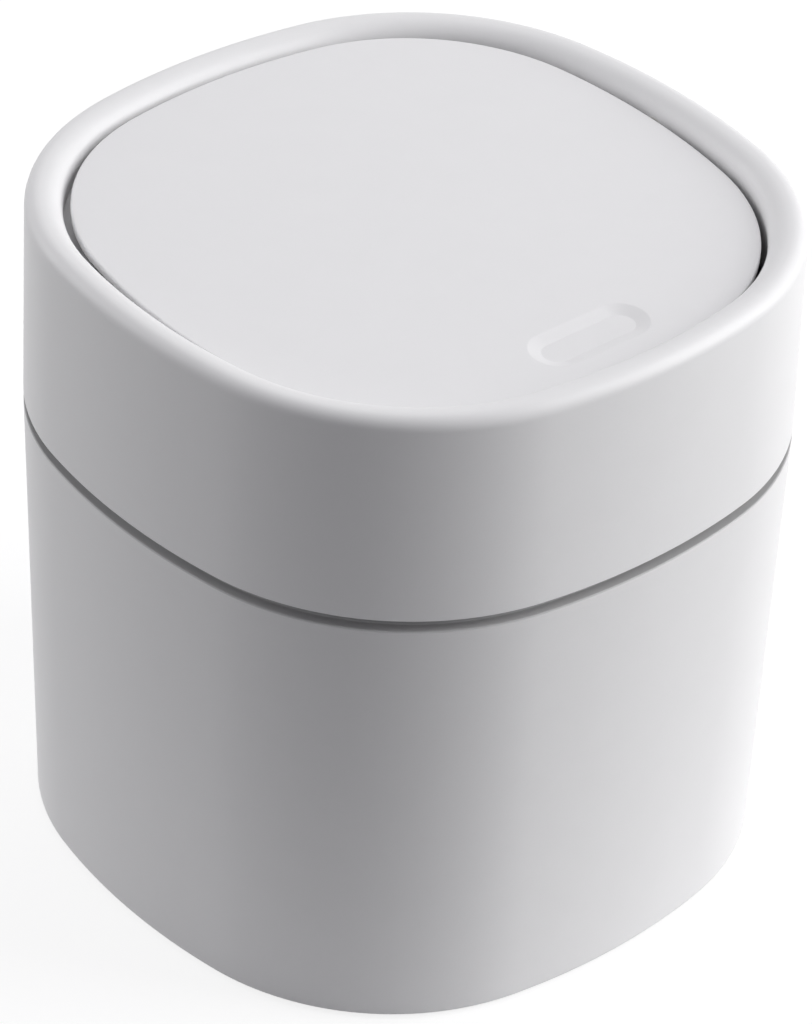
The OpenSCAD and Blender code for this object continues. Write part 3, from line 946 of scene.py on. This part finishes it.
# %% [markdown]
# ## Floor and background
#
# The photograph is a cut-out on white. The floor is a plain pale sheet. What the camera sees of it is lifted
# almost to white, with enough of the real floor left that the bin's soft shadow still shows and the bin
# doesn't float. What lights the bin from below is the sheet's own grey: a round card under the bin, and a
# darker table beyond it. The card's bounce is why the body is a little lighter than the hood on the shaded
# corner. One even floor would light both alike. The world does the same: a dim, faintly cool sky for light
# and plain white for the camera and for reflections.

# %% What the camera sees and what lights the object
def seen(tree):
    """1 for rays from the camera, and for what shows in gloss and glass. 0 for the light on things."""
    camera, gloss, glass = [
        tree.node("LightPath", out="Is " + kind + " Ray") for kind in ("Camera", "Glossy", "Transmission")]
    return tree.node("Math", {"operation": "MINIMUM"}, {"Value": camera + gloss + glass, "Value_001": 1.0})


def two_faced(tree, lighting, picture, kind):
    """One shader lights the object and the other one shows in the picture."""
    mixed = tree.node("MixShader", None, {"Fac": seen(tree), "Shader": lighting, "Shader_001": picture})
    tree.node("Output" + kind, None, {"Surface": mixed})


print("what the camera sees is kept apart from what lights the object")

# %% The floor
FLOOR_LIFT, FLOOR_CATCH = 0.8, 0.27
CARD_R, CARD_GREY, TABLE_R, TABLE_GREY = 200, 0.55, 3000, 0.15


def sheet(name, grey):
    """A material that lights the object as this grey would and looks almost white in the picture."""
    material = bpy.data.materials.new(name)
    material.use_nodes = True
    material.node_tree.nodes.clear()
    tree = Tree(material.node_tree)
    fibres = tree.node("TexNoise", None, {"Scale": 900.0, "Detail": 3.0})
    underlight = tree.node("BsdfDiffuse", None, {"Color": (grey, grey, grey, 1)})
    level = FLOOR_CATCH + (fibres - 0.5) * 0.01
    catcher = tree.node("BsdfDiffuse", None, {
        "Color": tree.node("CombineColor", None, {"Red": level, "Green": level, "Blue": level})})
    glow = tree.node("Emission", None, {"Color": (1, 1, 1, 1), "Strength": FLOOR_LIFT})
    picture = tree.node("AddShader", None, {"Shader": catcher, "Shader_001": glow})
    two_faced(tree, underlight, picture, "Material")
    return material


skin = Skin()
rings = skin.sleeve([circle(0, 0, r, 0, 96) for r in (0.75 * CARD_R, CARD_R)])
skin.flat(rings[0])
card = skin.object("studio_card")
card.data.materials.append(sheet("card_sheet", CARD_GREY))
skin = Skin()
skin.sleeve([circle(0, 0, r, 0, 96) for r in (CARD_R, 0.3 * TABLE_R, TABLE_R)])
table = skin.object("studio_table")
table.data.materials.append(sheet("table_sheet", TABLE_GREY))
for floor in (card, table):
    floor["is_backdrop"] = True
    print("floor:", floor.name)

# %% The world
SKY_LEVEL = 0.3
world = bpy.data.worlds.new("studio_air")
bpy.context.scene.world = world
world.use_nodes = True
world.node_tree.nodes.clear()
air = Tree(world.node_tree)
dim = air.node("Background", None, {"Color": (0.95, 0.94, 1.0, 1), "Strength": SKY_LEVEL})
white = air.node("Background", None, {"Color": (1, 1, 1, 1), "Strength": 1.0})
two_faced(air, dim, white, "World")
bpy.context.scene.view_settings.view_transform = "Standard"
print("world:", world.name)

# %% [markdown]
# ## Light
#
# Reading the photograph's grey levels against the direction that each part of the wall faces gives the
# lighting: brightest on the right, darkest on the corner next to the camera, and half bright on the left. A
# pair of soft boxes stands on the right, one low and one high, a third one behind on the left, and a large
# dim one hangs over the back for the lid and the rim. The levels came from rendering the lamps one by one,
# mixing the pictures until the greys were nearest to the photograph's, and rounding. A Sun lamp could light
# the bin as evenly, but it has no size, and a soft box is what shows as a broad highlight on the rim.

# %% The soft boxes
LAMPS_FACE = Vector((0, 0, 0.08))


def soft_box(name, azimuth, elevation, size, level, distance=1.8):
    """A square lamp that faces the bin. Level 1 makes white paper that faces it look white."""
    lamp = bpy.data.lights.new(name, "AREA")
    lamp.shape, lamp.size = "SQUARE", size
    lamp.energy = level * math.pi ** 2 * distance ** 2
    lamp_object = bpy.data.objects.new(name, lamp)
    a, e = math.radians(azimuth), math.radians(elevation)
    towards = Vector((math.cos(a) * math.cos(e), math.sin(a) * math.cos(e), math.sin(e)))
    lamp_object.location = LAMPS_FACE + towards * distance
    lamp_object.rotation_euler = towards.to_track_quat("Z", "Y").to_euler()
    bpy.context.scene.collection.objects.link(lamp_object)
    print(name, round(lamp.energy, 1), "W")


soft_box("right_low_box", azimuth=-40, elevation=5, size=1.1, level=0.65)
soft_box("right_high_box", azimuth=-40, elevation=40, size=1.1, level=0.52)
soft_box("left_box", azimuth=122, elevation=20, size=1.1, level=0.35)
soft_box("back_box", azimuth=49, elevation=60, size=1.4, level=0.14)

# %% [markdown]
# ## Camera
#
# The camera was found by fitting the solids' outline, seam and rim to the photograph's. It stands nearly a
# metre away and looks down at the near corner through a long lens, tilted by two and a half degrees. Track To
# would aim it, but not tilt it, so its three axes are written out. The small shift is the photograph's crop.

# %% The photograph's view
AZIMUTH, ELEVATION, ROLL = math.radians(-41.729), math.radians(35.477), math.radians(2.422)
DISTANCE, TARGET = 0.95825, Vector((0, 0, 0.0757))
FRAME_W, FRAME_H, FOCAL_PIXELS = 812, 1024, 4466.08
MIDDLE = (403.55, 505.41)

back = Vector((math.sin(AZIMUTH) * math.cos(ELEVATION), -math.cos(AZIMUTH) * math.cos(ELEVATION),
               math.sin(ELEVATION)))
level_right = Vector((math.cos(AZIMUTH), math.sin(AZIMUTH), 0))
upright = back.cross(level_right)
right = math.cos(ROLL) * level_right + math.sin(ROLL) * upright
up = back.cross(right)
lens = bpy.data.cameras.new("view")
lens.sensor_fit, lens.sensor_width, lens.sensor_height = "AUTO", 36, 36
lens.lens = FOCAL_PIXELS * lens.sensor_width / FRAME_H
lens.shift_x = (FRAME_W / 2 - MIDDLE[0]) / FRAME_H
lens.shift_y = (MIDDLE[1] - FRAME_H / 2) / FRAME_H
lens.clip_start, lens.clip_end = 0.05, 20
camera = bpy.data.objects.new("view", lens)
facing = Matrix((right, up, back)).transposed().to_4x4()
camera.matrix_world = Matrix.Translation(TARGET + back * DISTANCE) @ facing
bpy.context.scene.collection.objects.link(camera)
bpy.context.scene.camera = camera
print("lens:", round(lens.lens, 1), "mm")

# %% [markdown]
# ## Sizes, and the end
#
# The script ends by printing the box of the solids and the box of the visual skin, in millimetres.
# The visual skin has to stay inside the box of the solids.

# %% Print the sizes and finish
boxes = {"cad": cad_box, "visual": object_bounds()}
for name, box in boxes.items():
    print(name, [[round(c * 1000, 2) for c in corner] for corner in box])
